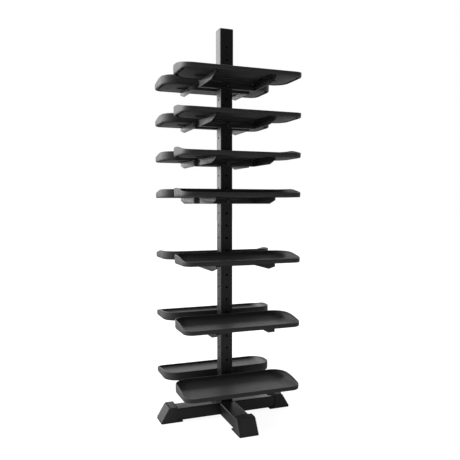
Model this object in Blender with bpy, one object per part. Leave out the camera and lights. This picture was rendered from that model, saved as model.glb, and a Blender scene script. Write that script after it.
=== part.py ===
"""A free-standing two-sided dumbbell rack: one square upright on a cross base, seven tiers of trays.

Metres, +Z up. The origin is on the floor below the upright. X runs along the trays, and -Y is the front.
Each tier is a pair: a front bracket and tray, and the same pair turned half round behind the upright.
"""

from math import cos, pi, radians, sin

import bmesh
import bpy
from mathutils import Matrix, Vector

MM = 0.001
GAP = 0.3 * MM  # clearance left between pieces that touch

# upright and header
POST = 60 * MM
POST_WALL = 2.5 * MM
POST_CORNER = 4 * MM
POST_TOP = 1853 * MM
HOLE = 11 * MM
HOLE_SIDES = 10
PITCH = 60 * MM
FIRST_HOLE = 95 * MM
TOP_HOLE = 1775 * MM
TOP_SIDE_HOLE = 1595 * MM
HEADER = 66.6 * MM
HEADER_WALL = 3 * MM
HEADER_BOTTOM = 1661 * MM
HEADER_TOP = 1857 * MM
CAP_PLATE = 3 * MM
CAP_PLUG = 14 * MM

# tiers, counted from the top, by the height of the bolt that carries them
TIER_BOLTS = [z * MM for z in (1595, 1415, 1235, 1055, 755, 455, 155)]

# bracket: a tube web against the upright, and two angle arms
WEB_HEIGHT = 30 * MM
WEB_DEPTH = 20 * MM
WEB_WALL = 2.5 * MM
ARM_OUTER = 141.5 * MM
ARM_PLATE = 5 * MM
ARM_FLANGE = 20 * MM
ARM_REACH = 277 * MM
ARM_TAPER = 60 * MM
ARM_TIP = 13.5 * MM

# tray
TRAY_HALF = 283 * MM
TRAY_BACK = 52 * MM
TRAY_FRONT = 280 * MM
RIM_BACK = 41 * MM
RIM_FRONT = 18.5 * MM
DROP_START = -0.1  # where the rim's drop begins and ends, as shares of the tray's depth from the front
DROP_END = 0.62
TRAY_WALL = 5 * MM
TRAY_FLOOR = 4.5 * MM
BACK_CORNER = 70 * MM
FRONT_CORNER = 44 * MM
CORNER_LEAST = 16 * MM
COVE_END = 61 * MM
COVE_BACK = 68 * MM
COVE_FRONT = 26 * MM
CORNER_STEPS = 5
END_STEPS = 4

# base
BEAM_WIDTH = 78 * MM
BEAM_HEIGHT = 58 * MM
BEAM_WALL = 3 * MM
BEAM_CORNER = 5 * MM
BEAM_LIFT = 6 * MM
CROSS_END = 288 * MM
LEG_END = 273 * MM

# foot, measured inwards from the outer edge of its sole
FOOT_BROW = 39 * MM
FOOT_COLLAR = 78 * MM
FOOT_HEEL = 104 * MM
FOOT_TOP = 74 * MM
FOOT_SOLE_HALF = 45 * MM
FOOT_TOP_HALF = 44 * MM
FOOT_PAST_BEAM = 45 * MM
SOLE_EDGE = 9 * MM
COLLAR_DIP = 6 * MM

# fasteners
BOLT = 9.8 * MM
BOLT_HEAD = 17 * MM
HEAD_THICK = 6.4 * MM
NUT_THICK = 8 * MM
BOLT_SPARE = 5 * MM


def clear_scene():
    for obj in list(bpy.data.objects):
        bpy.data.objects.remove(obj, do_unlink=True)


def material(name, colour, roughness, metallic=0.0):
    made = bpy.data.materials.get(name) or bpy.data.materials.new(name)
    made.use_nodes = True
    shader = made.node_tree.nodes["Principled BSDF"]
    shader.inputs["Base Color"].default_value = (*colour, 1.0)
    shader.inputs["Roughness"].default_value = roughness
    shader.inputs["Metallic"].default_value = metallic
    return made


def powder_coat():
    return material("black_powder_coat", (0.018, 0.018, 0.019), 0.42)


def tray_plastic():
    return material("charcoal_tray_plastic", (0.035, 0.035, 0.037), 0.62)


def foot_rubber():
    return material("black_foot_rubber", (0.03, 0.03, 0.03), 0.8)


def cap_plastic():
    return material("black_cap_plastic", (0.02, 0.02, 0.02), 0.5)


def black_zinc():
    return material("black_zinc_steel", (0.05, 0.05, 0.055), 0.35, 0.9)


def new_object(name, bm, finish):
    """The mesh as an object of its own, with its faces pointing out."""
    bmesh.ops.recalc_face_normals(bm, faces=bm.faces)
    mesh = bpy.data.meshes.new(name)
    bm.to_mesh(mesh)
    bm.free()
    mesh.materials.append(finish)
    obj = bpy.data.objects.new(name, mesh)
    bpy.context.collection.objects.link(obj)
    return obj


def box_mesh(low, high):
    bm = bmesh.new()
    bmesh.ops.create_cube(bm, size=1.0)
    low, high = Vector(low), Vector(high)
    for vert in bm.verts:
        vert.co = (low + high) / 2 + Vector(c * s for c, s in zip(vert.co, high - low, strict=True))
    return bm


def prism_mesh(outline, start, end, axis):
    """A flat outline of two coordinates pushed from start to end along axis X, Y or Z."""
    bm = bmesh.new()

    def place(point, depth):
        a, b = point
        return {"X": (depth, a, b), "Y": (a, depth, b), "Z": (a, b, depth)}[axis]

    near = [bm.verts.new(place(p, start)) for p in outline]
    far = [bm.verts.new(place(p, end)) for p in outline]
    bm.faces.new(near)
    bm.faces.new(far)
    for i in range(len(outline)):
        j = (i + 1) % len(outline)
        bm.faces.new((near[i], near[j], far[j], far[i]))
    return bm


def regular_outline(width_across_flats, sides, centre=(0.0, 0.0)):
    radius = width_across_flats / 2 / cos(pi / sides)
    turns = [2 * pi * (i + 0.5) / sides for i in range(sides)]
    return [(centre[0] + radius * cos(t), centre[1] + radius * sin(t)) for t in turns]


def rounded_rectangle(half_a, half_b, radius, steps=2):
    points = []
    for corner, (sign_a, sign_b) in enumerate(((1, 1), (-1, 1), (-1, -1), (1, -1))):
        centre_a = sign_a * (half_a - radius)
        centre_b = sign_b * (half_b - radius)
        for step in range(steps + 1):
            turn = radians(90 * (corner + step / steps))
            points.append((centre_a + radius * cos(turn), centre_b + radius * sin(turn)))
    return points


def cutter(name, bm):
    obj = new_object(name, bm, powder_coat())
    obj.hide_render = True
    obj.display_type = "WIRE"
    return obj


def cut(obj, tool, operation="DIFFERENCE"):
    """Applies one exact boolean to the object's mesh and removes the tool."""
    change = obj.modifiers.new("cut", "BOOLEAN")
    change.operation = operation
    change.solver = "EXACT"
    change.object = tool
    bpy.context.view_layer.update()
    graph = bpy.context.evaluated_depsgraph_get()
    result = bpy.data.meshes.new_from_object(obj.evaluated_get(graph))
    obj.modifiers.remove(change)
    obj.data = result
    bpy.data.objects.remove(tool, do_unlink=True)


def merge_meshes(parts):
    whole = bmesh.new()
    for part in parts:
        mesh = bpy.data.meshes.new("piece")
        part.to_mesh(mesh)
        part.free()
        whole.from_mesh(mesh)
        bpy.data.meshes.remove(mesh)
    return whole


def tube_mesh(outer, inner, start, end, axis):
    """An open tube between two outlines with the same number of points."""
    bm = bmesh.new()

    def place(point, depth):
        a, b = point
        return {"X": (depth, a, b), "Y": (a, depth, b), "Z": (a, b, depth)}[axis]

    rings = [[bm.verts.new(place(p, d)) for p in line] for line in (outer, inner) for d in (start, end)]
    loops = (rings[0], rings[1], rings[3], rings[2])
    for here, there in zip(loops, loops[1:] + loops[:1], strict=True):
        for i in range(len(outer)):
            j = (i + 1) % len(outer)
            bm.faces.new((here[i], here[j], there[j], there[i]))
    return bm


def hole_heights(top):
    count = round((top - FIRST_HOLE) / PITCH) + 1
    return [FIRST_HOLE + i * PITCH for i in range(count)]


def drill_rows(obj, heights, axis):
    """A row of holes right through the tube along X or Y."""
    reach = POST
    drills = [prism_mesh(regular_outline(HOLE, HOLE_SIDES, (0.0, z)), -reach, reach, axis) for z in heights]
    cut(obj, cutter("drill_row", merge_meshes(drills)))


def make_post():
    outer = rounded_rectangle(POST / 2, POST / 2, POST_CORNER)
    inside = POST / 2 - POST_WALL
    inner = rounded_rectangle(inside, inside, POST_CORNER - POST_WALL)
    bottom = BEAM_LIFT + BEAM_HEIGHT + GAP
    post = new_object("upright_post", tube_mesh(outer, inner, bottom, POST_TOP, "Z"), powder_coat())
    drill_rows(post, hole_heights(TOP_HOLE), "Y")
    drill_rows(post, hole_heights(TOP_SIDE_HOLE), "X")


def make_header():
    inside = HEADER / 2 - HEADER_WALL
    outer = rounded_rectangle(HEADER / 2, HEADER / 2, POST_CORNER + HEADER_WALL)
    inner = rounded_rectangle(inside, inside, POST_CORNER)
    header = new_object("header_sleeve", tube_mesh(outer, inner, HEADER_BOTTOM, HEADER_TOP, "Z"), powder_coat())
    drill_rows(header, [z for z in hole_heights(TOP_HOLE) if z > HEADER_BOTTOM + HOLE], "Y")


def make_top_cap():
    plug_half = POST / 2 - POST_WALL - GAP
    plate = rounded_rectangle(HEADER / 2, HEADER / 2, POST_CORNER + HEADER_WALL)
    cap = new_object(
        "header_top_cap",
        prism_mesh(plate, HEADER_TOP + GAP, HEADER_TOP + GAP + CAP_PLATE, "Z"),
        cap_plastic(),
    )
    plug = rounded_rectangle(plug_half, plug_half, POST_CORNER - POST_WALL)
    cut(cap, cutter("plug", prism_mesh(plug, HEADER_TOP - CAP_PLUG, HEADER_TOP + CAP_PLATE / 2, "Z")), "UNION")


def make_base():
    """One beam right across along X, with a leg butted to the middle of each of its long sides."""
    half_w, half_h = BEAM_WIDTH / 2, BEAM_HEIGHT / 2
    middle = BEAM_LIFT + half_h
    outer = [(a, middle + b) for a, b in rounded_rectangle(half_w, half_h, BEAM_CORNER)]
    inner_lines = rounded_rectangle(half_w - BEAM_WALL, half_h - BEAM_WALL, BEAM_CORNER - BEAM_WALL)
    inner = [(a, middle + b) for a, b in inner_lines]
    new_object("cross_beam", tube_mesh(outer, inner, -CROSS_END, CROSS_END, "X"), powder_coat())
    for name, sign in (("front_leg", -1), ("rear_leg", 1)):
        ends = sorted((sign * (half_w + GAP), sign * LEG_END))
        new_object(name, tube_mesh(outer, inner, *ends, "Y"), powder_coat())


def foot_mesh(toe):
    """The block of a foot at the end of a leg that runs to +X, before the leg's socket is cut."""
    brow, collar, heel = toe - FOOT_BROW, toe - FOOT_COLLAR, toe - FOOT_HEEL
    slope = FOOT_BROW / (FOOT_TOP - SOLE_EDGE)
    outline = [(heel, 0.0), (toe, 0.0), (toe, SOLE_EDGE)]
    outline += [(brow + 5 * MM * slope, FOOT_TOP - 5 * MM), (brow - 3 * MM, FOOT_TOP), (collar, FOOT_TOP)]
    low, high = SOLE_EDGE + 5 * MM, FOOT_TOP - 6 * MM
    for step in range(5):
        turn = pi * step / 4
        height = high + (low - high) * (1 - cos(turn)) / 2
        outline.append((collar + COLLAR_DIP * sin(turn), height))
    outline += [(collar - 10 * MM, SOLE_EDGE), (heel, SOLE_EDGE * 0.75)]
    bm = prism_mesh(outline, -1.0, 1.0, "Y")
    for vert in bm.verts:
        up = max(0.0, vert.co.z - SOLE_EDGE) / (FOOT_TOP - SOLE_EDGE)
        vert.co.y *= FOOT_SOLE_HALF + (FOOT_TOP_HALF - FOOT_SOLE_HALF) * up
    return bm


def make_feet():
    half_w, half_h = BEAM_WIDTH / 2 + GAP, BEAM_HEIGHT / 2 + GAP
    middle = BEAM_LIFT + BEAM_HEIGHT / 2
    socket = [(a, middle + b) for a, b in rounded_rectangle(half_w, half_h, BEAM_CORNER)]
    places = (("right", 0, CROSS_END), ("back", 90, LEG_END), ("left", 180, CROSS_END), ("front", 270, LEG_END))
    for name, degrees, end in places:
        toe = end + FOOT_PAST_BEAM
        foot = new_object(f"rubber_foot_{name}", foot_mesh(toe), foot_rubber())
        cut(foot, cutter("socket", prism_mesh(socket, toe - FOOT_HEEL - 0.02, end + GAP, "X")))
        foot.data.transform(Matrix.Rotation(radians(degrees), 4, "Z"))


def bracket_object(name):
    """The front bracket about its bolt: a tube web with an angle arm at each end, welded into one piece."""
    near = -POST / 2 - GAP
    front = near - WEB_DEPTH
    half_h = WEB_HEIGHT / 2
    web = new_object(
        name,
        box_mesh((-ARM_OUTER, front, -half_h), (ARM_OUTER, near, half_h)),
        powder_coat(),
    )
    hollow = box_mesh(
        (-ARM_OUTER - MM, front + WEB_WALL, -half_h + WEB_WALL),
        (ARM_OUTER + MM, near - WEB_WALL, half_h - WEB_WALL),
    )
    cut(web, cutter("hollow", hollow))
    low_tip = half_h - ARM_TIP
    plate = [
        (front + WEB_WALL / 2, -half_h),
        (-ARM_REACH + ARM_TAPER, -half_h),
        (-ARM_REACH, low_tip),
        (-ARM_REACH, half_h - GAP),
        (front + WEB_WALL / 2, half_h - GAP),
    ]
    for sign in (-1, 1):
        across = sorted((sign * ARM_OUTER, sign * (ARM_OUTER - ARM_PLATE)))
        arm = new_object("arm", prism_mesh(plate, *across, "X"), powder_coat())
        flange_x = sorted((sign * (ARM_OUTER - ARM_PLATE / 2), sign * (ARM_OUTER - ARM_FLANGE)))
        flange = box_mesh(
            (flange_x[0], -ARM_REACH, half_h - GAP - ARM_PLATE),
            (flange_x[1], front + WEB_WALL / 2, half_h - GAP),
        )
        cut(arm, cutter("flange", flange), "UNION")
        arm.hide_render = True
        cut(web, arm, "UNION")
    drill = prism_mesh(regular_outline(HOLE, HOLE_SIDES), front - MM, near + MM, "Y")
    cut(web, cutter("drill", drill))
    return web


def tray_ring(insets, height):
    """One closed ring of the tray's rounded outline. insets are how far it lies inside the rim at an end,
    at the back and at the front, and height gives a point's height from its y."""
    end, behind, ahead = insets
    half = TRAY_HALF - end
    front, back = -TRAY_FRONT + ahead, -TRAY_BACK - behind
    front_r = max(CORNER_LEAST, FRONT_CORNER - max(end, ahead))
    back_r = max(CORNER_LEAST, BACK_CORNER - max(end, behind))
    corners = (
        (half - back_r, back - back_r, back_r, 0),
        (-half + back_r, back - back_r, back_r, 90),
        (-half + front_r, front + front_r, front_r, 180),
        (half - front_r, front + front_r, front_r, 270),
    )
    ring = []
    for index, (cx, cy, radius, start) in enumerate(corners):
        for step in range(CORNER_STEPS + 1):
            turn = radians(start + 90 * step / CORNER_STEPS)
            ring.append((cx + radius * cos(turn), cy + radius * sin(turn)))
        if index in (1, 3):
            side = -half if index == 1 else half
            begin = ring[-1][1]
            finish = front + front_r if index == 1 else back - back_r
            for step in range(1, END_STEPS):
                ring.append((side, begin + (finish - begin) * step / END_STEPS))
        else:
            ring.append((ring[-1][0] * 0.35, ring[-1][1]))
            ring.append((-ring[-1][0], ring[-1][1]))
    return [(x, y, height(y)) for x, y in ring]


def smooth(value):
    value = min(1.0, max(0.0, value))
    return value * value * (3 - 2 * value)


def rim_height(y):
    """The rim is high behind and along half of the ends, and drops in an S towards the front lip."""
    share = (y + TRAY_FRONT) / (TRAY_FRONT - TRAY_BACK)
    return RIM_FRONT + (RIM_BACK - RIM_FRONT) * smooth((share - DROP_START) / (DROP_END - DROP_START))


def cove_ring(part):
    """A ring of the basin: part is 0 just inside the rim and 1 where the wall has run out into the floor."""
    run = 1 - cos(part * pi / 2)
    drop = sin(part * pi / 2)
    insets = [TRAY_WALL + (reach - TRAY_WALL) * run for reach in (COVE_END, COVE_BACK, COVE_FRONT)]
    rim = tray_ring((TRAY_WALL,) * 3, rim_height)
    inner = tray_ring(insets, lambda y: TRAY_FLOOR)
    tops = [z - 1.5 * MM for _, _, z in rim]
    return [(x, y, top + (TRAY_FLOOR - top) * drop) for (x, y, _), top in zip(inner, tops, strict=True)]


def tray_mesh():
    """The tray with its underside at z = 0: an open pan with a rounded foot, a rim and a coved basin."""
    rings = [
        tray_ring((8 * MM,) * 3, lambda y: 0.0),
        tray_ring((1.5 * MM,) * 3, lambda y: 6 * MM),
        tray_ring((0.0,) * 3, lambda y: rim_height(y) - 1.5 * MM),
        tray_ring((1.5 * MM,) * 3, rim_height),
    ]
    rings += [cove_ring(part) for part in (0.0, 0.3, 0.6, 1.0)]
    bm = bmesh.new()
    loops = [[bm.verts.new(point) for point in ring] for ring in rings]
    for here, there in zip(loops, loops[1:], strict=False):
        for i in range(len(here)):
            j = (i + 1) % len(here)
            bm.faces.new((here[i], here[j], there[j], there[i]))
    bm.faces.new(loops[0])
    bm.faces.new(loops[-1])
    return bm


def copy_of(source, name, height, turned):
    """A copy of a front piece at its tier, or the same piece turned half round to the back."""
    mesh = source.data.copy()
    mesh.name = name
    mesh.transform(Matrix.Translation((0.0, 0.0, height)) @ Matrix.Rotation(pi if turned else 0.0, 4, "Z"))
    obj = bpy.data.objects.new(name, mesh)
    bpy.context.collection.objects.link(obj)


def make_tier_bolt(tier, z):
    web_face = POST / 2 + GAP + WEB_DEPTH + GAP
    bolt = new_object(
        f"tier_bolt_{tier}",
        prism_mesh(regular_outline(BOLT_HEAD, 6, (0.0, z)), -web_face - HEAD_THICK, -web_face, "Y"),
        black_zinc(),
    )
    shank = regular_outline(BOLT, 10, (0.0, z))
    end = web_face + NUT_THICK + BOLT_SPARE
    cut(bolt, cutter("shank", prism_mesh(shank, -web_face - GAP, end, "Y")), "UNION")
    outer = regular_outline(BOLT_HEAD, 6, (0.0, z))
    nut = new_object(f"tier_nut_{tier}", prism_mesh(outer, web_face, web_face + NUT_THICK, "Y"), black_zinc())
    bore = regular_outline(BOLT + 2 * GAP, 10, (0.0, z))
    cut(nut, cutter("bore", prism_mesh(bore, web_face - MM, web_face + NUT_THICK + MM, "Y")))


def make_tiers():
    bracket = bracket_object("bracket_pattern")
    tray = new_object("tray_pattern", tray_mesh(), tray_plastic())
    for tier, z in enumerate(TIER_BOLTS, 1):
        for side, turned in (("front", False), ("back", True)):
            copy_of(bracket, f"bracket_{tier}_{side}", z, turned)
            copy_of(tray, f"tray_{tier}_{side}", z + WEB_HEIGHT / 2, turned)
        make_tier_bolt(tier, z)
    for pattern in (bracket, tray):
        bpy.data.objects.remove(pattern, do_unlink=True)


def main():
    clear_scene()
    make_base()
    make_feet()
    make_post()
    make_header()
    make_top_cap()
    make_tiers()


main()
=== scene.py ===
# %% [markdown]
# # A two-sided dumbbell rack
#
# The rack is one square steel upright on a cross of rectangular tube. Seven pairs of moulded trays
# stand out from it, one tray in front and one behind, each on a forked steel bracket. The shapes
# that have to work are already fixed in the engineering model, so this lesson loads that model as
# a frame and gives every piece the surface that it has in life: softened edges, powder coat,
# grained plastic, rubber treads, welds and screws.

# %% Load the frame
from math import cos, pi, radians, sin

import bmesh
import bpy
from mathutils import Matrix, Vector


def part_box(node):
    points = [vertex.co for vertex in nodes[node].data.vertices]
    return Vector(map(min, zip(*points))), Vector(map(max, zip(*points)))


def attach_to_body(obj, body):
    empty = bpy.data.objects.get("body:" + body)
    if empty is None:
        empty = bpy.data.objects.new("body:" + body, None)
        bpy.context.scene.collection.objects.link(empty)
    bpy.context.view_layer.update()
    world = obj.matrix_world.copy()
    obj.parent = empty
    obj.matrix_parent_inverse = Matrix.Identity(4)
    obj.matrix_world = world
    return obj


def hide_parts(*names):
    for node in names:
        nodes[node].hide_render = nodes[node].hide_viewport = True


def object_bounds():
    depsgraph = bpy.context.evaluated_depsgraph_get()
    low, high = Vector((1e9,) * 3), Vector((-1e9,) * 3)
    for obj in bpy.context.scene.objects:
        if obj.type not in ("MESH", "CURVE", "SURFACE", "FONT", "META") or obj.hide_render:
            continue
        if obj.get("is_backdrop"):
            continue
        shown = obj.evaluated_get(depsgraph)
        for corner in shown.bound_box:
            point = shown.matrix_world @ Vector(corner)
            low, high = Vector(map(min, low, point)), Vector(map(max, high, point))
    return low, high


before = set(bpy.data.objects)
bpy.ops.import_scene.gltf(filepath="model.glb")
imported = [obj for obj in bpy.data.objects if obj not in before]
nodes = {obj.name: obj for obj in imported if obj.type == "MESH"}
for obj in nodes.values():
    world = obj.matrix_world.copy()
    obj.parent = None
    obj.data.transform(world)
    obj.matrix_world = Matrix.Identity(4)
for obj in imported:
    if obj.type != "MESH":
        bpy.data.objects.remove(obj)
cad_low, cad_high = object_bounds()
print("frame:", len(nodes), "nodes, height", round(cad_high[2], 3), "m")

# %% [markdown]
# ## Units and a few measures
#
# Blender works in metres and a rack maker in millimetres, so one constant turns one into the other.
# The tiers are read from the frame: a tier's bolt is at the middle of its front bracket, and its
# trays begin at their lowest point. Reading them keeps every later piece in step with the frame.

# %% Measures
MM = 0.001
GAP = 0.3 * MM  # the clearance that the frame leaves between pieces that touch
TIERS = range(1, 8)
SIDES = ("front", "back")


def lowest(node):
    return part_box(node)[0]


def highest(node):
    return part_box(node)[1]


bracket_low, bracket_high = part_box("bracket_1_front")
ARM_OUTER = bracket_high.x
BRACKET_HEIGHT = bracket_high.z - bracket_low.z
front_brackets = [f"bracket_{tier}_front" for tier in TIERS]
bolt_heights = [(lowest(node).z + highest(node).z) / 2 for node in front_brackets]
tray_bases = [lowest(f"tray_{tier}_front").z for tier in TIERS]
print("bolts at", [round(z, 3) for z in bolt_heights])

# %% [markdown]
# ## Camera
#
# The rack is seen from in front and a little to its left, from just above half its height. A studio
# camera is kept nearly level so that the upright stays straight, and its lens is slid rather than
# the whole camera tilted. Blender's shift_y does the same thing.

# %% Camera
CAMERA_DISTANCE = 2.7095
CAMERA_HEIGHT = 1.0388
CAMERA_AZIMUTH = radians(20.27)
CAMERA_HEADING = radians(20.83)
CAMERA_DIP = radians(4.4)
CAMERA_LENS = 43.45  # focal length in mm
CAMERA_SHIFT = 0.0365  # how far the lens is slid up, as a share of the sensor's width
camera_data = bpy.data.cameras.new("camera")
camera_data.sensor_width = 36
camera_data.lens = CAMERA_LENS
camera_data.shift_y = CAMERA_SHIFT
camera = bpy.data.objects.new("camera", camera_data)
bpy.context.collection.objects.link(camera)
camera.location = (
    -CAMERA_DISTANCE * sin(CAMERA_AZIMUTH),
    -CAMERA_DISTANCE * cos(CAMERA_AZIMUTH),
    CAMERA_HEIGHT,
)
camera.rotation_euler = (pi / 2 - CAMERA_DIP, 0.0, -CAMERA_HEADING)
bpy.context.scene.camera = camera
print("camera", [round(c, 3) for c in camera.location])

# %% [markdown]
# ## Studio
#
# Black goods show what they reflect. A white wall behind makes the sides of the upright shine,
# because they are seen at a slant, and a dark room in front keeps the faces that look at the camera
# nearly black. The world below is that room: bright behind and on the left, dim in front, and
# brighter high up than near the floor. The camera itself sees plain white, through the Light Path
# node's camera switch. Four small helpers join nodes, here and in every tree that follows.


# %% Node helpers
def link_nodes(tree, *pairs):
    for source, target in pairs:
        tree.links.new(source, target)


def arithmetic(tree, operation, first, second):
    """A Math node on two sockets or numbers."""
    node = tree.nodes.new("ShaderNodeMath")
    node.operation = operation
    for socket, value in zip(node.inputs, (first, second), strict=False):
        if isinstance(value, (int, float)):
            socket.default_value = value
        else:
            tree.links.new(value, socket)
    return node.outputs[0]


def vector(tree, x=0.0, y=0.0, z=0.0):
    """A Combine XYZ node on three sockets or numbers."""
    node = tree.nodes.new("ShaderNodeCombineXYZ")
    for socket, value in zip(node.inputs, (x, y, z), strict=True):
        if isinstance(value, (int, float)):
            socket.default_value = value
        else:
            tree.links.new(value, socket)
    return node.outputs[0]


def ramp(tree, value, given, wanted, smooth=False):
    """A Map Range node that turns the span given into the span wanted."""
    node = tree.nodes.new("ShaderNodeMapRange")
    node.inputs["From Min"].default_value, node.inputs["From Max"].default_value = given
    node.inputs["To Min"].default_value, node.inputs["To Max"].default_value = wanted
    node.interpolation_type = "SMOOTHSTEP" if smooth else "LINEAR"
    tree.links.new(value, node.inputs["Value"])
    return node.outputs["Result"]


# %% [markdown]
# A world's Generated coordinates are the direction of a ray, so each ramp below lights the room by
# where the ray goes: backwards along Y, upwards along Z, and to the left along -X.

# %% Studio room
BACK_LIGHT = 1.25
SIDE_LIGHT = 0.9
FRONT_LIGHT = 0.05
LOW_SHARE = 0.65  # the wall behind is lit from above, so it is dimmer low down
HIGH_SHARE = 1.5
LEFT_SHARE = 2.0  # and its left half is brighter than its right
WHITE = (1.0, 1.0, 1.0, 1.0)
bpy.context.scene.view_settings.view_transform = "Standard"
world = bpy.data.worlds.new("studio")
world.use_nodes = True
bpy.context.scene.world = world
tree = world.node_tree
tree.nodes.clear()
where = tree.nodes.new("ShaderNodeTexCoord")
way = tree.nodes.new("ShaderNodeSeparateXYZ")
tree.links.new(where.outputs["Generated"], way.inputs[0])
back_wall = ramp(tree, way.outputs["Y"], (-0.35, 0.75), (FRONT_LIGHT, BACK_LIGHT), smooth=True)
by_height = ramp(tree, way.outputs["Z"], (-0.25, -0.06), (LOW_SHARE, HIGH_SHARE))
by_side = ramp(tree, way.outputs["X"], (0.15, -0.30), (1.0, LEFT_SHARE))
left_wall = ramp(tree, way.outputs["X"], (-0.3, -1.0), (0.0, SIDE_LIGHT), smooth=True)
back_wall = arithmetic(tree, "MULTIPLY", arithmetic(tree, "MULTIPLY", back_wall, by_height), by_side)
light = arithmetic(tree, "ADD", back_wall, left_wall)
room = tree.nodes.new("ShaderNodeBackground")
backdrop = tree.nodes.new("ShaderNodeBackground")
backdrop.inputs["Color"].default_value = WHITE
rays = tree.nodes.new("ShaderNodeLightPath")
either = tree.nodes.new("ShaderNodeMixShader")
out = tree.nodes.new("ShaderNodeOutputWorld")
link_nodes(
    tree,
    (light, room.inputs["Strength"]),
    (rays.outputs["Is Camera Ray"], either.inputs[0]),
    (room.outputs[0], either.inputs[1]),
    (backdrop.outputs[0], either.inputs[2]),
    (either.outputs[0], out.inputs["Surface"]),
)
print("room lit from", FRONT_LIGHT, "in front to", BACK_LIGHT * HIGH_SHARE * LEFT_SHARE, "behind")

# %% [markdown]
# Two large soft boxes fill the room: one on the left draws the ends of the trays, and one above
# draws their rims.


# %% Soft boxes
def soft_box(name, place, target, size, power):
    """A rectangular area light aimed at a point."""
    data = bpy.data.lights.new(name, "AREA")
    data.shape = "RECTANGLE"
    data.size, data.size_y = size
    data.energy = power
    lamp = bpy.data.objects.new(name, data)
    bpy.context.collection.objects.link(lamp)
    lamp.location = place
    aim = Vector(target) - Vector(place)
    lamp.rotation_euler = aim.to_track_quat("-Z", "Y").to_euler()


soft_box("left_soft_box", (-3.2, 1.2, 2.2), (0, 0, 1.2), (2.0, 2.4), 60)
soft_box("top_soft_box", (-0.6, -0.4, 4.0), (0, 0, 0.5), (2.5, 2.5), 30)

# %% [markdown]
# ## Floor
#
# A pale paper floor. To the camera it glows almost white, so the dim front of the room doesn't show
# on it, and a faint shadow is left. To the rack it glows much less, as a floor in a dim room does,
# or the undersides of the beams would shine.

# %% Floor
FLOOR_SIZE = 60.0
FLOOR_GLOW = 0.20  # what the rack gets from the floor
FLOOR_GLOW_SEEN = 0.93  # what the camera gets
floor_mesh = bpy.data.meshes.new("floor")
half = FLOOR_SIZE / 2
corners = [(-half, -half, 0), (half, -half, 0), (half, half, 0), (-half, half, 0)]
floor_mesh.from_pydata(corners, [], [(0, 1, 2, 3)])
floor = bpy.data.objects.new("floor", floor_mesh)
bpy.context.collection.objects.link(floor)
paper = bpy.data.materials.new("pale_floor_paper")
paper.use_nodes = True
shader = paper.node_tree.nodes["Principled BSDF"]
shader.inputs["Base Color"].default_value = (0.25, 0.25, 0.25, 1)
shader.inputs["Roughness"].default_value = 0.9
shader.inputs["Specular IOR Level"].default_value = 0.0
shader.inputs["Emission Color"].default_value = WHITE
rays = paper.node_tree.nodes.new("ShaderNodeLightPath")
glow = ramp(paper.node_tree, rays.outputs["Is Camera Ray"], (0.0, 1.0), (FLOOR_GLOW, FLOOR_GLOW_SEEN))
paper.node_tree.links.new(glow, shader.inputs["Emission Strength"])
floor_mesh.materials.append(paper)
floor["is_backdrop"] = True
print("floor", FLOOR_SIZE, "m square")

# %% [markdown]
# ## Finishes
#
# A finish is a colour, a gloss and a fine relief. All of the ones here read the Object coordinates
# of their piece, in metres, so the grain has the same real size on every piece: about a millimetre
# for powder coat, half of that for moulded plastic. A helper makes the common part, and each finish
# says only what is its own.

# %% Finish helper
CLOUD_SCALE = 22.0  # patches of a few centimetres, in which colour and gloss drift
GLOSS_DRIFT = 0.05


def finish(name, colour, roughness, grain, relief, mottle=0.12, metallic=0.0):
    """A Principled material whose colour and gloss vary a little, with a fine noise relief.

    grain is the size of the relief's bumps and relief their height, both in metres."""
    made = bpy.data.materials.new(name)
    made.use_nodes = True
    tree = made.node_tree
    shader = tree.nodes["Principled BSDF"]
    shader.inputs["Metallic"].default_value = metallic
    place = tree.nodes.new("ShaderNodeTexCoord")
    cloud = tree.nodes.new("ShaderNodeTexNoise")
    cloud.inputs["Scale"].default_value = CLOUD_SCALE
    cloud.inputs["Detail"].default_value = 4.0
    tint = tree.nodes.new("ShaderNodeMix")
    tint.data_type = "RGBA"
    tint.inputs["A"].default_value = (*[c * (1 - mottle) for c in colour], 1)
    tint.inputs["B"].default_value = (*[c * (1 + mottle) for c in colour], 1)
    gloss = ramp(tree, cloud.outputs["Fac"], (0.0, 1.0), (roughness - GLOSS_DRIFT, roughness + GLOSS_DRIFT))
    fine = tree.nodes.new("ShaderNodeTexNoise")
    fine.inputs["Scale"].default_value = 1.0 / grain
    fine.inputs["Detail"].default_value = 2.0
    bump = tree.nodes.new("ShaderNodeBump")
    bump.inputs["Distance"].default_value = relief
    bump.inputs["Strength"].default_value = 0.6
    link_nodes(
        tree,
        (place.outputs["Object"], cloud.inputs["Vector"]),
        (place.outputs["Object"], fine.inputs["Vector"]),
        (cloud.outputs["Fac"], tint.inputs["Factor"]),
        (tint.outputs["Result"], shader.inputs["Base Color"]),
        (gloss, shader.inputs["Roughness"]),
        (fine.outputs["Fac"], bump.inputs["Height"]),
        (bump.outputs["Normal"], shader.inputs["Normal"]),
    )
    return made


# %% [markdown]
# Powder coat is a baked plastic film on steel. It is satin black, with the faint skin of an orange
# peel. The upright and the base share one coat, the brackets have a slightly greyer one, and the
# header has a slightly glossier one.

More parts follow.
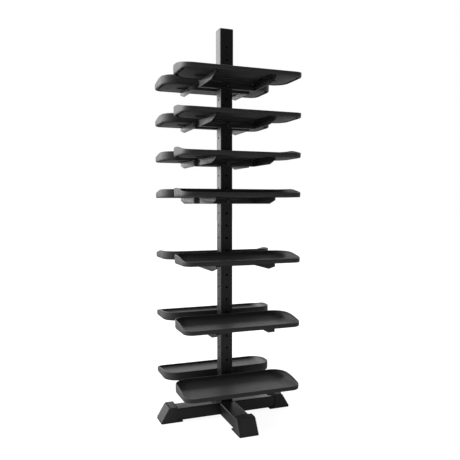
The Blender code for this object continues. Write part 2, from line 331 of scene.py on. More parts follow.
# %% Coats
powder_coat = finish("satin_black_powder_coat", (0.0115, 0.0115, 0.012), 0.36, 1.4 * MM, 0.05 * MM)
bracket_coat = finish("bracket_black_powder_coat", (0.0145, 0.0145, 0.015), 0.40, 1.4 * MM, 0.05 * MM)
header_coat = finish("header_gloss_powder_coat", (0.016, 0.016, 0.0165), 0.30, 1.6 * MM, 0.04 * MM)
tray_plastic = finish("charcoal_grained_tray_plastic", (0.030, 0.030, 0.031), 0.55, 0.6 * MM, 0.06 * MM)
foot_rubber = finish("black_foot_rubber", (0.036, 0.036, 0.036), 0.72, 0.9 * MM, 0.10 * MM, mottle=0.2)
cap_plastic = finish("black_cap_plastic", (0.020, 0.020, 0.020), 0.48, 0.7 * MM, 0.05 * MM)
black_zinc = finish("black_zinc_plate", (0.06, 0.06, 0.063), 0.34, 0.5 * MM, 0.02 * MM, metallic=0.9)
weld_coat = finish("coated_weld_bead", (0.016, 0.016, 0.0165), 0.42, 1.0 * MM, 0.05 * MM)
print("finishes", sorted(made.name for made in bpy.data.materials))

# %% [markdown]
# ## Helpers for pieces
#
# new_piece turns a list of points and faces into an object whose place is in its mesh, and attach
# puts every piece on the body that it rides on and hides the plain solid of the frame that it
# stands for.


# %% Piece helpers
def new_piece(name, mesh, material, angle=35):
    mesh.materials.clear()
    mesh.materials.append(material)
    mesh.shade_smooth()
    mesh.set_sharp_from_angle(angle=radians(angle))
    piece = bpy.data.objects.new(name, mesh)
    bpy.context.collection.objects.link(piece)
    return piece


def attach(piece, slot, *stands_for):
    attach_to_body(piece, "root")
    if stands_for:
        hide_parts(*stands_for)
    return piece


def mesh_of_rings(rings):
    """A skin through rings of the same number of points, with a face on its first and last ring."""
    count = len(rings[0])
    points = [point for ring in rings for point in ring]
    faces = []
    for r in range(len(rings) - 1):
        for i in range(count):
            j = (i + 1) % count
            faces.append((r * count + i, r * count + j, (r + 1) * count + j, (r + 1) * count + i))
    faces.append(tuple(reversed(range(count))))
    faces.append(tuple((len(rings) - 1) * count + i for i in range(count)))
    mesh = bpy.data.meshes.new("rings")
    mesh.from_pydata(points, [], faces)
    bm = bmesh.new()
    bm.from_mesh(mesh)
    bmesh.ops.recalc_face_normals(bm, faces=bm.faces)
    bm.to_mesh(mesh)
    bm.free()
    return mesh


# %% [markdown]
# ## Softened edges
#
# No edge of a real tube or plate is a knife edge: steel is rolled or deburred, and paint rounds it
# further. Those small rounds catch the light and draw the outline of a black object. The frame's
# solids are loose triangles, so a copy is merged and its flat triangles are joined again. Then a
# bevel runs along every edge that is sharper than the given angle.


# %% Edge softening
def softened(node, name, material, width, segments=2, angle=10):
    """A copy of a frame solid with its sharp edges rounded to the given width."""
    mesh = nodes[node].data.copy()
    bm = bmesh.new()
    bm.from_mesh(mesh)
    bmesh.ops.remove_doubles(bm, verts=bm.verts, dist=0.01 * MM)
    bmesh.ops.dissolve_limit(bm, angle_limit=radians(0.5), verts=bm.verts, edges=bm.edges)
    bmesh.ops.recalc_face_normals(bm, faces=bm.faces)
    bm.to_mesh(mesh)
    bm.free()
    piece = new_piece(name, mesh, material, 180)
    bevel = piece.modifiers.new("rounding", "BEVEL")
    bevel.width = width
    bevel.segments = segments
    bevel.limit_method = "ANGLE"
    bevel.angle_limit = radians(angle)
    bevel.harden_normals = True
    return apply_modifiers(piece)


def apply_modifiers(piece):
    """The piece's evaluated mesh takes the place of its mesh, and its modifiers go."""
    bpy.context.view_layer.update()
    graph = bpy.context.evaluated_depsgraph_get()
    mesh = bpy.data.meshes.new_from_object(piece.evaluated_get(graph))
    piece.modifiers.clear()
    piece.data = mesh
    return piece


# %% [markdown]
# ## Brackets
#
# A bracket is a short tube across the face of the upright with a plate arm at each end. The arms
# stand on edge, with a flange along the top that the tray rests on, and their lower corners are cut
# away towards the free end. They are welded up from sheet, so a round under a millimetre is right.

# %% Brackets
for tier in TIERS:
    for side in SIDES:
        node = f"bracket_{tier}_{side}"
        attach(softened(node, f"fork_{tier}_{side}", bracket_coat, 0.7 * MM), "bracket_powder_coat", node)
print("brackets", len(TIERS) * len(SIDES))

# %% [markdown]
# ## Geometry Nodes, set up by hand
#
# Square tubes, rows of holes, weld beads and screws all follow a rule, so small node trees make
# them. A tree is built once with named inputs. A modifier knows its inputs by an identifier and not
# by the name on the socket, so the helper looks each one up before the object is evaluated. The
# result is then turned into a plain mesh and the modifier is dropped.


# %% Node tree helpers
def new_tree(name, **inputs):
    """A geometry node tree with a geometry output and one float input for each name."""
    tree = bpy.data.node_groups.new(name, "GeometryNodeTree")
    tree.interface.new_socket("Geometry", in_out="INPUT", socket_type="NodeSocketGeometry")
    for label, value in inputs.items():
        socket = tree.interface.new_socket(label, in_out="INPUT", socket_type="NodeSocketFloat")
        socket.default_value = value
    tree.interface.new_socket("Finish", in_out="INPUT", socket_type="NodeSocketMaterial")
    tree.interface.new_socket("Geometry", in_out="OUTPUT", socket_type="NodeSocketGeometry")
    return tree, tree.nodes.new("NodeGroupInput"), tree.nodes.new("NodeGroupOutput")


def close_tree(tree, given, result, shape):
    """Ends a tree: instances become real geometry, and the finish is put on it."""
    real = tree.nodes.new("GeometryNodeRealizeInstances")
    paint = tree.nodes.new("GeometryNodeSetMaterial")
    link_nodes(
        tree,
        (shape, real.inputs[0]),
        (real.outputs[0], paint.inputs["Geometry"]),
        (given.outputs["Finish"], paint.inputs["Material"]),
        (paint.outputs[0], result.inputs[0]),
    )


def grow(name, tree, mesh, material, angle=35, **values):
    """An object made by a tree from a start mesh, as a plain mesh with no modifier left."""
    piece = bpy.data.objects.new(name, mesh)
    bpy.context.collection.objects.link(piece)
    modifier = piece.modifiers.new("nodes", "NODES")
    modifier.node_group = tree
    for item in tree.interface.items_tree:
        if item.in_out == "INPUT" and item.name in values:
            modifier[item.identifier] = values[item.name]
        if item.in_out == "INPUT" and item.name == "Finish":
            modifier[item.identifier] = material
    apply_modifiers(piece)
    piece.data.shade_smooth()
    piece.data.set_sharp_from_angle(angle=radians(angle))
    return piece


# %% [markdown]
# ## Perforated tube
#
# One tree draws every tube of the rack. A rounded rectangle is swept along a straight line to a
# bar, a smaller bar is taken out of it, and then a row of drills. The drills are instances of one
# cylinder on the points of a line, which is how a punching machine works too: one tool, one step.
# The tree runs up +Z from the origin, and each tube is turned and moved into place afterwards.

# %% Parts of the tube tree
DRILL_SIDES = 24
CORNER_STEPS = 6


def bar(tree, width, depth, corner, low, high):
    """A solid bar with rounded corners between two heights."""
    line = tree.nodes.new("GeometryNodeCurvePrimitiveLine")
    tree.links.new(vector(tree, z=low), line.inputs["Start"])
    tree.links.new(vector(tree, z=high), line.inputs["End"])
    outline = tree.nodes.new("GeometryNodeCurvePrimitiveQuadrilateral")
    tree.links.new(width, outline.inputs["Width"])
    tree.links.new(depth, outline.inputs["Height"])
    fillet = tree.nodes.new("GeometryNodeFilletCurve")
    fillet.mode = "POLY"
    fillet.inputs["Count"].default_value = CORNER_STEPS
    tree.links.new(outline.outputs[0], fillet.inputs["Curve"])
    tree.links.new(corner, fillet.inputs["Radius"])
    sweep = tree.nodes.new("GeometryNodeCurveToMesh")
    sweep.inputs["Fill Caps"].default_value = True
    tree.links.new(line.outputs[0], sweep.inputs["Curve"])
    tree.links.new(fillet.outputs[0], sweep.inputs["Profile Curve"])
    return sweep.outputs[0]


def take_away(tree, body, tool):
    """The body without the space that the tool fills."""
    cut = tree.nodes.new("GeometryNodeMeshBoolean")
    cut.operation = "DIFFERENCE"
    cut.solver = "EXACT"
    link_nodes(tree, (body, cut.inputs["Mesh 1"]), (tool, cut.inputs["Mesh 2"]))
    return cut.outputs["Mesh"]


def drill_row(tree, given, count, turn):
    """Instances of one drill on a line of points up the tube, turned to point along X or Y."""
    points = tree.nodes.new("GeometryNodeMeshLine")
    points.mode = "OFFSET"
    tree.links.new(count, points.inputs["Count"])
    tree.links.new(vector(tree, z=given.outputs["First Hole"]), points.inputs["Start Location"])
    tree.links.new(vector(tree, z=given.outputs["Pitch"]), points.inputs["Offset"])
    drill = tree.nodes.new("GeometryNodeMeshCylinder")
    drill.inputs["Vertices"].default_value = DRILL_SIDES
    tree.links.new(arithmetic(tree, "MULTIPLY", given.outputs["Hole"], 0.5), drill.inputs["Radius"])
    tree.links.new(arithmetic(tree, "MULTIPLY", given.outputs["Width"], 2.0), drill.inputs["Depth"])
    place = tree.nodes.new("GeometryNodeInstanceOnPoints")
    place.inputs["Rotation"].default_value = turn
    tree.links.new(points.outputs[0], place.inputs["Points"])
    tree.links.new(drill.outputs["Mesh"], place.inputs["Instance"])
    real = tree.nodes.new("GeometryNodeRealizeInstances")
    tree.links.new(place.outputs[0], real.inputs[0])
    return real.outputs[0]


print("drills have", DRILL_SIDES, "sides")

# %% Tube tree
PAST_END = 10 * MM  # how far the bore's tool passes each end of the tube
INNER_CORNER = 0.6  # the share of the wall's thickness by which the inner corner is tighter
TUBE_INPUTS = {
    "Width": 60 * MM,
    "Depth": 60 * MM,
    "Wall": 2.5 * MM,
    "Corner": 4 * MM,
    "Length": 1.0,
    "First Hole": 0.1,
    "Pitch": 60 * MM,
    "Front Holes": 0.0,
    "Side Holes": 0.0,
    "Hole": 11 * MM,
}
tube_tree, given, result = new_tree("perforated_tube", **TUBE_INPUTS)
sizes = ("Width", "Depth", "Wall", "Corner", "Length")
width, depth, wall, corner, length = (given.outputs[name] for name in sizes)
twice_wall = arithmetic(tube_tree, "MULTIPLY", wall, 2.0)
inner_width = arithmetic(tube_tree, "SUBTRACT", width, twice_wall)
inner_depth = arithmetic(tube_tree, "SUBTRACT", depth, twice_wall)
less_corner = arithmetic(tube_tree, "MULTIPLY", wall, INNER_CORNER)
inner_corner = arithmetic(tube_tree, "SUBTRACT", corner, less_corner)
past_top = arithmetic(tube_tree, "ADD", length, PAST_END)
outer = bar(tube_tree, width, depth, corner, 0.0, length)
inner = bar(tube_tree, inner_width, inner_depth, inner_corner, -PAST_END, past_top)
hollow = take_away(tube_tree, outer, inner)
drilled = hollow
for label, turn in (("Front Holes", (pi / 2, 0, 0)), ("Side Holes", (0, pi / 2, 0))):
    drilled = take_away(tube_tree, drilled, drill_row(tube_tree, given, given.outputs[label], turn))
close_tree(tube_tree, given, result, drilled)
print("tube tree", len(tube_tree.nodes), "nodes")

# %% [markdown]
# The upright and the header have their lengths and hole rows from the frame: the first hole is
# 95 mm above the floor and the pitch is 60 mm. A small bevel afterwards breaks the edges of the
# holes and of the cut ends, and normals weighted by area keep the big faces looking flat.

# %% Upright and header
FIRST_HOLE = 95 * MM
HOLE_PITCH = 60 * MM
FRONT_HOLES = 29
SIDE_HOLES = 26
HEADER_HOLES = 2
BROKEN_EDGE = 0.5 * MM


def tube(node, name, material, slot, along="Z", **values):
    """A tube grown by the tree, laid along an axis where its frame node is."""
    low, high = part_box(node)
    middle = (low + high) / 2
    piece = grow(name, tube_tree, bpy.data.meshes.new(name), material, **values)
    start, axis = {
        "X": ((low.x, middle.y, middle.z), "Y"),
        "Y": ((middle.x, high.y, middle.z), "X"),
        "Z": ((middle.x, middle.y, low.z), "Z"),
    }[along]
    turn = Matrix.Rotation(0.0 if along == "Z" else pi / 2, 4, axis)
    piece.data.transform(Matrix.Translation(start) @ turn)
    bevel = piece.modifiers.new("broken_edges", "BEVEL")
    bevel.width = BROKEN_EDGE
    bevel.segments = 2
    bevel.limit_method = "ANGLE"
    bevel.angle_limit = radians(40)
    level = piece.modifiers.new("flat_faces", "WEIGHTED_NORMAL")
    level.weight = 100
    level.keep_sharp = True
    apply_modifiers(piece)
    bpy.context.view_layer.update()
    grown_to, wanted = ([round(size / MM, 1) for size in sizes] for sizes in (piece.dimensions, high - low))
    print(name, grown_to, "frame", wanted)
    return attach(piece, slot, node)


post_low, post_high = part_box("upright_post")
header_low, header_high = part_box("header_sleeve")
header_hole = FIRST_HOLE + (FRONT_HOLES - HEADER_HOLES) * HOLE_PITCH
tube(
    "upright_post",
    "drilled_upright",
    powder_coat,
    "post_powder_coat",
    Width=post_high.x - post_low.x,
    Depth=post_high.y - post_low.y,
    Length=post_high.z - post_low.z,
    **{"First Hole": FIRST_HOLE - post_low.z, "Front Holes": FRONT_HOLES, "Side Holes": SIDE_HOLES},
)
tube(
    "header_sleeve",
    "header_tube",
    header_coat,
    "header_powder_coat",
    Width=header_high.x - header_low.x,
    Depth=header_high.y - header_low.y,
    Wall=3 * MM,
    Corner=6 * MM,
    Length=header_high.z - header_low.z,
    **{"First Hole": header_hole - header_low.z, "Front Holes": HEADER_HOLES, "Side Holes": 0},
)
attach(softened("header_top_cap", "header_lid", cap_plastic, 0.8 * MM, 3), "cap_plastic", "header_top_cap")

# %% [markdown]
# ## Base
#
# The cross beam and the two legs are the same rectangular tube, so they use the tube tree with no
# holes. The legs butt against the beam's sides.

# %% Base
BASE_TUBE = {"Wall": 3 * MM, "Corner": 5 * MM}
low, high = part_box("cross_beam")
width, depth, length = high.z - low.z, high.y - low.y, high.x - low.x
tube(
    "cross_beam", "base_cross_tube", powder_coat, "base_powder_coat", "X",
    Width=width, Depth=depth, Length=length, **BASE_TUBE,
)
for node, name in (("front_leg", "base_front_tube"), ("rear_leg", "base_rear_tube")):
    low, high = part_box(node)
    width, depth, length = high.x - low.x, high.z - low.z, high.y - low.y
    tube(
        node, name, powder_coat, "base_powder_coat", "Y",
        Width=width, Depth=depth, Length=length, **BASE_TUBE,
    )

# %% [markdown]
# ## Trays
#
# A tray is a moulded pan. Its rim is high behind and at the ends, so that a dumbbell can't roll off,
# and it falls in an S to a low lip in front. The shape is a loft: rings of the same number of points
# climb from the underside over the rim and down into the basin, and each ring is the outline moved
# inwards. Insets differ for the ends, the back and the front, because the wall behind runs out into
# the floor in a long cove and the lip in front in a short one.

# %% Tray sizes
tray_low, tray_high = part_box("tray_1_front")
TRAY_HALF = tray_high.x
TRAY_FRONT = -tray_low.y
TRAY_BACK = -tray_high.y
RIM_PEAK = tray_high.z - tray_low.z
RIM_FRONT = 18.5 * MM
DROP_START = -0.1  # where the rim's drop begins and ends, as shares of the tray's depth from the front
DROP_END = 0.62
TRAY_WALL = 5 * MM
TRAY_FLOOR = 4.5 * MM
BACK_CORNER = 70 * MM
FRONT_CORNER = 44 * MM
LEAST_CORNER = 16 * MM
ARC_STEPS = 12
SIDE_STEPS = 14
LONG_STEPS = 10
COVE = (61 * MM, 68 * MM, 26 * MM)  # how far the wall runs in at an end, behind and in front
SKIRT = (6 * MM, 5 * MM, 20 * MM)  # how far in the wall's foot reaches, in the same order
PANEL = (19 * MM, 17 * MM, 25 * MM)  # and how far in the panel begins
GROOVE_HALF = 194 * MM
GROOVE_BACK = 118 * MM
GROOVE_FRONT = 182 * MM
GROOVE_DEEP = 3.8 * MM


def rounded_outline(half, front, back, front_r, back_r):
    """Points anticlockwise round a rectangle with rounded corners, always the same number."""
    corners = (
        (half - back_r, back - back_r, back_r, 0),
        (-half + back_r, back - back_r, back_r, 90),
        (-half + front_r, front + front_r, front_r, 180),
        (half - front_r, front + front_r, front_r, 270),
    )
    arcs = []
    for centre_x, centre_y, radius, start in corners:
        turns = [radians(start + 90 * step / ARC_STEPS) for step in range(ARC_STEPS + 1)]
        arcs.append([(centre_x + radius * cos(t), centre_y + radius * sin(t)) for t in turns])
    outline = []
    for number, arc in enumerate(arcs):
        outline += arc
        (ax, ay), (bx, by) = arc[-1], arcs[(number + 1) % 4][0]
        steps = LONG_STEPS if number % 2 == 0 else SIDE_STEPS
        outline += [(ax + (bx - ax) * k / steps, ay + (by - ay) * k / steps) for k in range(1, steps)]
    return outline


def inset_outline(end, behind, ahead, spare=0.0):
    """The tray's outline moved inwards. spare makes its corners rounder than the inset alone does."""
    front_r = max(LEAST_CORNER, FRONT_CORNER - max(end, ahead) + spare)
    back_r = max(LEAST_CORNER, BACK_CORNER - max(end, behind) + spare)
    return rounded_outline(TRAY_HALF - end, -TRAY_FRONT + ahead, -TRAY_BACK - behind, front_r, back_r)


def smooth_step(value):
    value = min(1.0, max(0.0, value))
    return value * value * (3 - 2 * value)


def depth_share(y):
    """How far back a point of a front tray lies: 0 at the lip and 1 at the back."""
    return (y + TRAY_FRONT) / (TRAY_FRONT - TRAY_BACK)


def rim_height(y):
    rise = smooth_step((depth_share(y) - DROP_START) / (DROP_END - DROP_START))
    return RIM_FRONT + (RIM_PEAK - RIM_FRONT) * rise


print("tray", [round(v / MM) for v in (TRAY_HALF * 2, TRAY_FRONT - TRAY_BACK, RIM_PEAK)], "mm")

# %% [markdown]
# The loft starts in the middle of the underside. A long shallow groove with round ends stiffens the
# floor, a flat panel surrounds it, and between the panel and the wall runs a moat as deep as the
# moulding allows, which leaves the wall standing as a thin skirt. The rim is a half round, and the
# cove is a squared quarter of an ellipse: it leaves the wall upright and reaches the floor level.

# %% Tray loft
WALL_FOOT = ((4.0, 0.0), (2.6, 0.7), (1.4, 2.4), (0.6, 5.0), (0.2, 8.5), (0.0, 12.0))  # inset, height in mm
RIM_ROUND = 2.5 * MM
RIM_STEPS = 6
COVE_STEPS = 14
COVE_SQUARE = 0.85  # 1 is a plain ellipse, and less gives a steeper wall with a quicker turn into the floor
MOAT_FRONT = 3.4 * MM  # the moat's depth in front, under the short cove
MOAT_BACK = 11 * MM
MOAT_FALL_START = 0.14  # where it grows deeper, as shares of the tray's depth from the front
MOAT_FALL_END = 0.39
PANEL_SPARE = 14 * MM  # how much rounder the panel's corners are
SKIRT_SPARE = 6 * MM


def flat_ring(outline, z):
    return [(x, y, z) for x, y in outline]


def grown(insets, out):
    """Insets for the ends, the back and the front, all moved by the same distance."""
    return tuple(inset + out for inset in insets)


def moat_ring(outline):
    """The moat's bottom: shallow in front and deep under the high walls."""
    ring = []
    for x, y in outline:
        deeper = smooth_step((depth_share(y) - MOAT_FALL_START) / (MOAT_FALL_END - MOAT_FALL_START))
        ring.append((x, y, MOAT_FRONT + (MOAT_BACK - MOAT_FRONT) * deeper))
    return ring


def underside_rings():
    groove_r = (GROOVE_FRONT - GROOVE_BACK) / 2 - 2 * MM

    def groove(out, z):
        half, front, back = GROOVE_HALF + out, -GROOVE_FRONT - out, -GROOVE_BACK + out
        return flat_ring(rounded_outline(half, front, back, groove_r + out, groove_r + out), z)

    rings = [groove(-1.0 * MM, GROOVE_DEEP), groove(-0.4 * MM, GROOVE_DEEP - 0.4 * MM)]
    rings += [groove(0.0, 0.6 * MM), groove(0.6 * MM, 0.0)]
    for out, z in ((1.6 * MM, 0.0), (0.4 * MM, 0.3 * MM), (0.0, 1.2 * MM)):
        rings.append(flat_ring(inset_outline(*grown(PANEL, out), spare=PANEL_SPARE), z))
    rings.append(moat_ring(inset_outline(*grown(PANEL, -0.5 * MM), spare=PANEL_SPARE)))
    rings.append(moat_ring(inset_outline(*grown(SKIRT, 1 * MM), spare=SKIRT_SPARE)))
    for out, z in ((0.0, 1.0 * MM), (-0.8 * MM, 0.0)):
        rings.append(flat_ring(inset_outline(*grown(SKIRT, out), spare=SKIRT_SPARE), z))
    return rings


def wall_rings():
    rings = []
    for inset, z in WALL_FOOT:
        rings.append(flat_ring(inset_outline(*(inset * MM,) * 3), z * MM))
    for step in range(RIM_STEPS * 2 + 1):
        turn = pi * step / (RIM_STEPS * 2)
        inset = RIM_ROUND * (1 - cos(turn))
        outline = inset_outline(inset, inset, inset)
        rings.append([(x, y, rim_height(y) - RIM_ROUND * (1 - sin(turn))) for x, y in outline])
    return rings


def basin_rings():
    rings = []
    rim = inset_outline(*(TRAY_WALL,) * 3)
    tops = [rim_height(y) - RIM_ROUND for x, y in rim]
    for step in range(1, COVE_STEPS + 1):
        turn = pi / 2 * step / COVE_STEPS
        run, drop = 1 - max(0.0, cos(turn)) ** COVE_SQUARE, sin(turn) ** COVE_SQUARE
        insets = [TRAY_WALL + (reach - TRAY_WALL) * run for reach in COVE]
        outline = inset_outline(*insets)
        points = zip(outline, tops, strict=True)
        rings.append([(x, y, top + (TRAY_FLOOR - top) * drop) for (x, y), top in points])
    return rings


tray_mesh = mesh_of_rings(underside_rings() + wall_rings() + basin_rings())
print("tray mesh", len(tray_mesh.vertices), "points")

# %% Trays in place
for tier, base in zip(TIERS, tray_bases, strict=True):
    for side in SIDES:
        mesh = tray_mesh.copy()
        turn = Matrix.Rotation(pi if side == "back" else 0.0, 4, "Z")
        mesh.transform(Matrix.Translation((0, 0, base)) @ turn)
        node = f"tray_{tier}_{side}"
        attach(new_piece(f"moulded_tray_{tier}_{side}", mesh, tray_plastic), "tray_plastic", node)
print("trays", len(TIERS) * len(SIDES))

# %% [markdown]
# ## Feet
#
# A rubber foot is pushed over the end of each leg. Its outer end slopes, its collar grips the tube
# in a shallow arc, and its edges carry a fine tread. The block comes from the frame with rounder
# edges, and the tread is added below, when there is a tree for it.

# %% Feet
FEET = ("left", "right", "front", "back")
for which in FEET:
    node = f"rubber_foot_{which}"
    attach(softened(node, f"foot_block_{which}", foot_rubber, 2.2 * MM, 3), "foot_rubber", node)
print("feet", len(FEET))

# %% [markdown]
# ## A row along a path
#
# This tree walks along the edges of a small path mesh, puts one grain at each step and turns it to
# face along the path. Ribs, weld scales and stitches are all rows of this kind. The grain is an
# icosphere stretched to three sizes, which is enough at a few millimetres.

# %% Row tree
row_tree, given, result = new_tree("row_along_path", Step=2 * MM, Long=MM, Wide=MM, Tall=MM)
as_curve = row_tree.nodes.new("GeometryNodeMeshToCurve")
walk = row_tree.nodes.new("GeometryNodeResampleCurve")
walk.mode = "LENGTH"
tangent = row_tree.nodes.new("GeometryNodeInputTangent")
face_along = row_tree.nodes.new("FunctionNodeAlignRotationToVector")
face_along.axis = "X"
face_along.pivot_axis = "AUTO"
grain = row_tree.nodes.new("GeometryNodeMeshIcoSphere")
grain.inputs["Radius"].default_value = 1.0
grain.inputs["Subdivisions"].default_value = 1
put = row_tree.nodes.new("GeometryNodeInstanceOnPoints")
grain_size = vector(row_tree, given.outputs["Long"], given.outputs["Wide"], given.outputs["Tall"])
link_nodes(
    row_tree,
    (given.outputs["Geometry"], as_curve.inputs[0]),
    (as_curve.outputs[0], walk.inputs["Curve"]),
    (given.outputs["Step"], walk.inputs["Length"]),
    (tangent.outputs[0], face_along.inputs["Vector"]),
    (walk.outputs[0], put.inputs["Points"]),
    (grain.outputs["Mesh"], put.inputs["Instance"]),
    (face_along.outputs[0], put.inputs["Rotation"]),
    (grain_size, put.inputs["Scale"]),
)
close_tree(row_tree, given, result, put.outputs[0])
print("row tree", len(row_tree.nodes), "nodes")


def path_mesh(name, paths):
    """One mesh of loose polylines from lists of points."""
    points, edges = [], []
    for path in paths:
        first = len(points)
        points += path
        edges += [(first + k, first + k + 1) for k in range(len(path) - 1)]
    mesh = bpy.data.meshes.new(name)
    mesh.from_pydata(points, edges, [])
    return mesh


# %% [markdown]
# ## Foot treads
#
# The tread is a row of small ribs round the sole, up the two slanted corners of the end face and
# across the top. The paths are drawn for a foot that points to +X and turned to the other three.

# %% Treads
SOLE_EDGE = 9 * MM
FOOT_BROW = 39 * MM
FOOT_COLLAR = 78 * MM
FOOT_LONG = 104 * MM
RIB_OUT = 0.2 * MM
RIB_LOW = 4 * MM
END_REST = 4 * MM  # the smooth stretch before a corner
TOP_REST = 8 * MM


def tread_runs(toe, half, top):
    """The rib paths of a foot that points to +X: round the sole, up the slanted corners, over the top."""
    front = toe + RIB_OUT
    runs = [[(front, half - END_REST, RIB_LOW), (front, -half + END_REST, RIB_LOW)]]
    for edge in (-1, 1):
        side = edge * (half + RIB_OUT)
        runs.append([(toe - 3 * MM, side, RIB_LOW), (toe - FOOT_LONG + END_REST, side, RIB_LOW)])
        slant = edge * (half - 1.2 * MM)
        brow = (toe - FOOT_BROW + 5 * MM, slant - edge * 1 * MM, top - TOP_REST)
        runs.append([(toe - 2 * MM, slant, SOLE_EDGE + 2 * MM), brow])
    for back in (FOOT_BROW + 1 * MM, FOOT_COLLAR - 4 * MM):
        x, z = toe - back, top - 1 * MM
        runs.append([(x, half - TOP_REST, z), (x, -half + TOP_REST, z)])
    return runs


tread_paths = []
for which, degrees in (("right", 0), ("back", 90), ("left", 180), ("front", 270)):
    low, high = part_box(f"rubber_foot_{which}")
    toe = max(abs(c) for c in (low.x, low.y, high.x, high.y))
    half = min(high.x - low.x, high.y - low.y) / 2
    turn = Matrix.Rotation(radians(degrees), 4, "Z")
    tread_paths += [[turn @ Vector(point) for point in run] for run in tread_runs(toe, half, high.z)]
treads = grow(
    "foot_tread_ribs",
    row_tree,
    path_mesh("tread_paths", tread_paths),
    foot_rubber,
    angle=30,
    Step=8 * MM,
    Long=2.5 * MM,
    Wide=3.2 * MM,
    Tall=3.8 * MM,
)
attach(treads, "foot_rubber")
print("tread runs", len(tread_paths), "points", len(treads.data.vertices))

# %% [markdown]
# ## Welds
#
# The upright stands on the beam in a fillet weld, the legs are welded to the beam's sides, and each
# arm is welded to its bracket's tube. Under the paint a weld is a line of small overlapping scales.

# %% Base welds
CORNER_CUT = 5 * MM  # how far a bead stays from a corner
SEAM_OUT = 0.3 * MM  # how far a bead's middle is off the faces that it joins
SEAM_UP = 0.6 * MM
SEAM_UNDER = 0.4 * MM
leg_low, leg_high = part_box("front_leg")
beam_high = highest("cross_beam")
seam = post_high.x + SEAM_OUT
short = seam - CORNER_CUT
top = beam_high.z + SEAM_UP
ring = [(-short, -seam), (short, -seam), (seam, -short), (seam, short), (short, seam), (-short, seam)]
ring += [(-seam, short), (-seam, -short), (-short, -seam)]
weld_paths = [[(x, y, top) for x, y in ring]]
for sign in (-1, 1):
    face = sign * beam_high.y
    half = leg_high.x - CORNER_CUT
    under = beam_high.z - SEAM_UNDER
    weld_paths.append([(-half, face, under), (half, face, under)])
    for edge in (-1, 1):
        side = edge * leg_high.x
        weld_paths.append([(side, face, leg_low.z + CORNER_CUT), (side, face, leg_high.z - CORNER_CUT)])
base_welds = grow(
    "base_weld_beads",
    row_tree,
    path_mesh("base_paths", weld_paths),
    weld_coat,
    angle=180,
    Step=1.6 * MM,
    Long=1.3 * MM,
    Wide=2.2 * MM,
    Tall=2.0 * MM,
)
attach(base_welds, "base_powder_coat")
print("base welds in", len(weld_paths), "runs")

# %% Arm welds
WEB_FRONT = 50.3 * MM  # where the arms leave the bracket's own tube
ARM_PLATE = 5 * MM
LOW_REST = 2 * MM  # the arm's height without a weld, below and above
HIGH_REST = 6 * MM
arm_paths = []
for z in bolt_heights:
    low, high = z - BRACKET_HEIGHT / 2 + LOW_REST, z + BRACKET_HEIGHT / 2 - HIGH_REST
    for sign in (-1, 1):
        for edge in (-1, 1):
            x = edge * (ARM_OUTER - ARM_PLATE)
            arm_paths.append([(x, sign * WEB_FRONT, low), (x, sign * WEB_FRONT, high)])
arm_welds = grow(
    "arm_weld_beads",
    row_tree,
    path_mesh("arm_paths", arm_paths),
    weld_coat,
    angle=180,
    Step=1.8 * MM,
    Long=1.4 * MM,
    Wide=1.8 * MM,
    Tall=1.8 * MM,
)
attach(arm_welds, "bracket_powder_coat")
print("arm welds in", len(arm_paths), "runs")

# %% [markdown]
# ## Bolts and tray screws
#
# The tier bolts and their nuts are the frame's own, with their hexagons eased.

# %% Bolts
for tier in TIERS:
    bolt, nut = f"tier_bolt_{tier}", f"tier_nut_{tier}"
    attach(softened(bolt, f"through_bolt_{tier}", black_zinc, 0.5 * MM), "bolt_black_zinc", bolt)
    attach(softened(nut, f"through_nut_{tier}", black_zinc, 0.5 * MM), "bolt_black_zinc", nut)
print("bolts and nuts", 2 * len(TIERS))

# %% [markdown]
# Each tray is held from below by four small screws through the flanges of its arms. A tree puts one
# screw, a hexagon head under a washer, on each point.

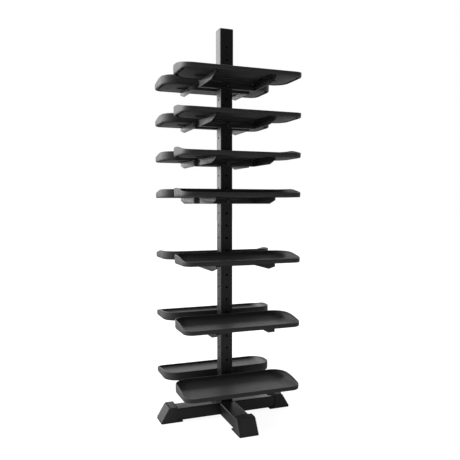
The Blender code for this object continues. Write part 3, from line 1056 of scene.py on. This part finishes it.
# %% Screw tree
screw_tree, given, result = new_tree(
    "screws_on_points", **{"Head": 10 * MM, "Head Tall": 4 * MM, "Washer": 14 * MM, "Washer Tall": 1.2 * MM}
)
join = screw_tree.nodes.new("GeometryNodeJoinGeometry")
for label, sides in (("Washer", 20), ("Head", 6)):
    disc = screw_tree.nodes.new("GeometryNodeMeshCylinder")
    disc.inputs["Vertices"].default_value = sides
    radius = arithmetic(screw_tree, "MULTIPLY", given.outputs[label], 0.5)
    screw_tree.links.new(radius, disc.inputs["Radius"])
    screw_tree.links.new(given.outputs[f"{label} Tall"], disc.inputs["Depth"])
    shift = screw_tree.nodes.new("GeometryNodeTransform")
    half_tall = arithmetic(screw_tree, "MULTIPLY", given.outputs[f"{label} Tall"], -0.5)
    depth_below = half_tall
    if label == "Head":
        depth_below = arithmetic(screw_tree, "SUBTRACT", half_tall, given.outputs["Washer Tall"])
    screw_tree.links.new(vector(screw_tree, z=depth_below), shift.inputs["Translation"])
    screw_tree.links.new(disc.outputs["Mesh"], shift.inputs["Geometry"])
    screw_tree.links.new(shift.outputs[0], join.inputs[0])
put = screw_tree.nodes.new("GeometryNodeInstanceOnPoints")
link_nodes(
    screw_tree,
    (given.outputs["Geometry"], put.inputs["Points"]),
    (join.outputs[0], put.inputs["Instance"]),
)
close_tree(screw_tree, given, result, put.outputs[0])
print("screw tree", len(screw_tree.nodes), "nodes")

# %% Tray screws
FLANGE_MIDDLE = ARM_OUTER - 12.5 * MM
FLANGE_UNDER = 4.3 * MM  # below the tray
SCREW_PLACES = (95 * MM, 235 * MM)  # how far out from the middle of the rack
screw_points = [
    (edge * FLANGE_MIDDLE, sign * y, base - FLANGE_UNDER - GAP)
    for base in tray_bases
    for sign in (-1, 1)
    for edge in (-1, 1)
    for y in SCREW_PLACES
]
screws = grow("tray_screws", screw_tree, path_mesh("screw_points", [[p] for p in screw_points]), black_zinc)
attach(screws, "bolt_black_zinc")
print("tray screws", len(screw_points))

# %% [markdown]
# ## Sizes
#
# The finished model has to fill the same space as the frame. Both boxes are kept, and how far
# their tops differ is printed.

# %% Compare and finish
look_low, look_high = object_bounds()
sizes = {
    "cad": [list(cad_low), list(cad_high)],
    "visual": [list(look_low), list(look_high)],
}
print("boxes differ by", [round((b - a) / MM, 1) for a, b in zip(cad_high, look_high, strict=True)], "mm")
